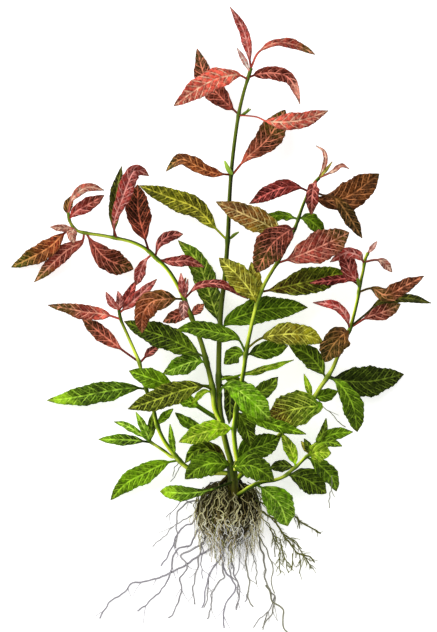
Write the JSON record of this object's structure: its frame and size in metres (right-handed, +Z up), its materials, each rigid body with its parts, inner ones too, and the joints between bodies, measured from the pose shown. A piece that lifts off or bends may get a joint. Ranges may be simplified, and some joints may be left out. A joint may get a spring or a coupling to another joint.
{
  "type": "bare-root rosanervig hygrophila plant",
  "caption": "Bare-rooted aquarium stem plant laid flat: branching stems, veined lance-shaped leaves from pink-red to green, and a ball of pale roots.",
  "frame": {"origin": "on the surface that the plant lies on, under the top of the root ball, whose underside is pressed flat there", "axes": "+Y along the main stem, from the roots to the shoot's tip; +Z up, away from the surface that the plant lies on"},
  "size_m": [0.2114, 0.3128, 0.0374],
  "materials": {
    "rose": "satin",
    "rose_olive": "satin",
    "rose_russet": "satin",
    "dusk_rose": "satin",
    "crimson": "satin",
    "crimson_dark": "satin",
    "crimson_olive": "satin",
    "russet": "satin",
    "russet_dark": "satin",
    "russet_olive": "satin",
    "russet_green": "satin",
    "olive": "satin",
    "olive_rose": "satin",
    "olive_dark": "satin",
    "green": "satin",
    "green_russet": "satin",
    "bright_green": "satin",
    "dark_green": "satin",
    "stem": "satin",
    "root": "matte"
  },
  "bodies": {
    "root": {"main_stem": "stem", "left_branch": "stem", "side_branch": "stem", "small_shoot": "stem", "right_stem": "stem", "right_branch": "stem", "low_shoot": "stem", "root_ball": "root", "main_leaf_04": "rose", "main_leaf_06": "crimson_olive", "main_leaf_07": "rose", "main_leaf_08": "crimson_olive", "main_leaf_09": "russet_olive", "main_leaf_10": "olive", "main_leaf_11": "green", "main_leaf_12": "green", "right_leaf_04": "crimson", "right_leaf_06": "russet", "right_leaf_07": "russet_dark", "right_leaf_10": "crimson_olive", "right_leaf_11": "rose_russet", "right_leaf_12": "russet", "right_leaf_13": "olive_rose", "right_leaf_15": "green_russet", "right_leaf_16": "olive", "right_leaf_17": "green", "right_leaf_19": "dark_green", "right_leaf_21": "bright_green", "right_leaf_23": "green", "mid_leaf_01": "bright_green", "branch_leaf_01": "olive", "branch_leaf_02": "green", "branch_leaf_04": "green", "branch_leaf_05": "dark_green", "branch_leaf_09": "russet_olive", "branch_leaf_16": "crimson_dark", "branch_leaf_17": "rose", "branch_leaf_18": "olive_dark", "branch_leaf_19": "crimson_olive", "branch_leaf_20": "rose_olive", "branch_leaf_21": "rose_olive", "side_leaf_01": "rose_olive", "side_leaf_02": "crimson_olive", "side_leaf_08": "green", "side_leaf_11": "green", "top_right_leaf_04": "crimson", "top_right_leaf_06": "russet_olive", "top_right_leaf_08": "crimson", "top_right_leaf_10": "russet_dark", "right_low_leaf_01": "dark_green", "right_low_leaf_02": "dark_green", "right_low_leaf_03": "green", "right_low_leaf_06": "russet_green", "low_leaf_02": "dark_green", "low_leaf_03": "green", "low_leaf_10": "green", "crown_leaf_01": "green", "crown_leaf_03": "green", "crown_leaf_05": "bright_green"}
  },
  "joints": []
}
